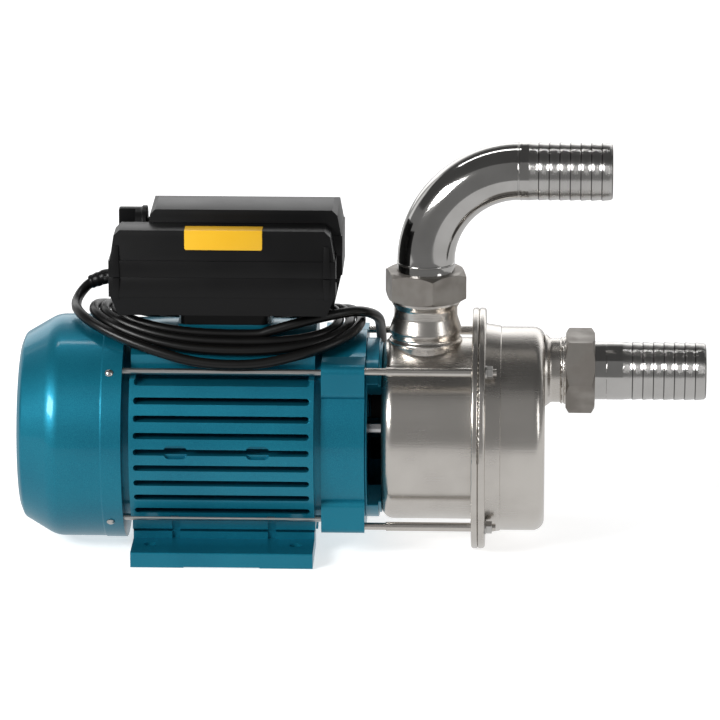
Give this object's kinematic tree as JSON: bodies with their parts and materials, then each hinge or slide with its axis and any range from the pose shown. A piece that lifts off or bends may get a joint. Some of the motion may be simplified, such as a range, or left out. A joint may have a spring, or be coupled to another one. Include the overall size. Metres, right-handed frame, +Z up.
{
  "type": "electric transfer pump",
  "caption": "Self-priming stainless transfer pump on a finned electric motor, with hose tails, union nuts, switch box, rotary switch and a coiled supply cord.",
  "frame": {"origin": "centre of the four foot holes, on the underside of the feet", "axes": "+X along the shaft from fan to suction side, +Z up, -Y the side with the front box"},
  "size_m": [0.4721, 0.2074, 0.2866],
  "materials": {
    "teal_paint": "fine metallic paint under clear coat",
    "zinc_steel": "bright zinc plate",
    "stainless": "pressed and satin-polished stainless steel",
    "polished_pipe": "polished stainless tube",
    "cast_stainless": "bead-blasted cast stainless steel",
    "bearing_steel": "ground steel",
    "laminations": "varnished laminations",
    "copper": "varnished copper wire",
    "black_plastic": "moulded, fine grain",
    "seal_rubber": "smooth",
    "cord_rubber": "smooth rubber sheath",
    "seal_ceramic": "lapped ceramic and carbon",
    "white_plastic": "moulded",
    "label_yellow": "printed film, blank"
  },
  "bodies": {
    "motor": {"motor_frame": "teal_paint", "front_foot": "teal_paint", "rear_foot": "teal_paint", "front_shield": "teal_paint", "pump_bracket": "teal_paint", "fan_cowl": "teal_paint", "rear_shield": "teal_paint", "motor_tie_bolts": "zinc_steel", "cowl_screws": "zinc_steel", "foot_screws": "zinc_steel", "rod_nuts": "zinc_steel", "rod_washers": "zinc_steel", "casing_body": "stainless", "front_cover": "stainless", "outlet_neck": "stainless", "inlet_neck": "stainless", "pump_tie_rods": "stainless", "rod_sleeves": "stainless", "diffuser": "stainless", "inlet_hose_tail": "polished_pipe", "rear_bearing_outer": "bearing_steel", "front_bearing_outer": "bearing_steel", "stator_core": "laminations", "rear_winding": "copper", "front_winding": "copper", "front_box_base": "black_plastic", "front_box_lid": "black_plastic", "rear_box_base": "black_plastic", "rear_box_lid": "black_plastic", "box_pedestal": "black_plastic", "cable_gland": "black_plastic", "gland_nut": "black_plastic", "switch_body": "black_plastic", "mains_plug": "black_plastic", "inlet_gasket": "seal_rubber", "outlet_gasket": "seal_rubber", "cover_seal_ring": "seal_rubber", "cord_lead": "cord_rubber", "cord_tail": "cord_rubber", "cord_coil": "cord_rubber", "seal_seat": "seal_ceramic", "run_capacitor": "white_plastic", "terminal_block": "white_plastic", "blank_label": "label_yellow"},
    "rotor": {"rotor_shaft": "bearing_steel", "rotor_core": "laminations", "impeller_key": "zinc_steel", "cooling_fan": "black_plastic", "fan_clip": "zinc_steel", "rear_bearing_inner": "bearing_steel", "front_bearing_inner": "bearing_steel", "seal_head": "seal_ceramic", "impeller": "stainless", "impeller_nut": "zinc_steel"},
    "rear_balls": {"rear_bearing_balls": "bearing_steel"},
    "front_balls": {"front_bearing_balls": "bearing_steel"},
    "knob": {"switch_knob": "black_plastic"},
    "inlet_nut": {"inlet_union_nut": "cast_stainless"},
    "outlet_nut": {"outlet_union_nut": "cast_stainless"},
    "outlet_pipe": {"outlet_elbow": "polished_pipe"}
  },
  "joints": [
    {"name": "rotor_spin", "type": "hinge", "parent": "motor", "child": "rotor", "pos_m": [0, 0, 0.08], "axis": [1, 0, 0], "continuous": true},
    {"name": "rear_ball_orbit", "type": "hinge", "parent": "motor", "child": "rear_balls", "pos_m": [-0.078, 0, 0.08], "axis": [1, 0, 0], "continuous": true},
    {"name": "front_ball_orbit", "type": "hinge", "parent": "motor", "child": "front_balls", "pos_m": [0.079, 0, 0.08], "axis": [1, 0, 0], "continuous": true},
    {"name": "switch_turn", "type": "hinge", "parent": "motor", "child": "knob", "pos_m": [-0.064, 0.013, 0.2215], "axis": [1, 0, 0], "range_deg": [-45, 45]},
    {"name": "inlet_nut_turn", "type": "hinge", "parent": "motor", "child": "inlet_nut", "pos_m": [0.2445, 0, 0.122], "axis": [1, 0, 0], "continuous": true},
    {"name": "outlet_nut_turn", "type": "hinge", "parent": "motor", "child": "outlet_nut", "pos_m": [0.1378, 0, 0.183], "axis": [0, 0, 1], "continuous": true},
    {"name": "outlet_swivel", "type": "hinge", "parent": "motor", "child": "outlet_pipe", "pos_m": [0.1378, 0, 0.19], "axis": [0, 0, 1], "continuous": true}
  ],
  "couplings": [
    {"joint": "rear_ball_orbit", "follows": "rotor_spin", "ratio": 0.3737},
    {"joint": "front_ball_orbit", "follows": "rotor_spin", "ratio": 0.3925}
  ]
}
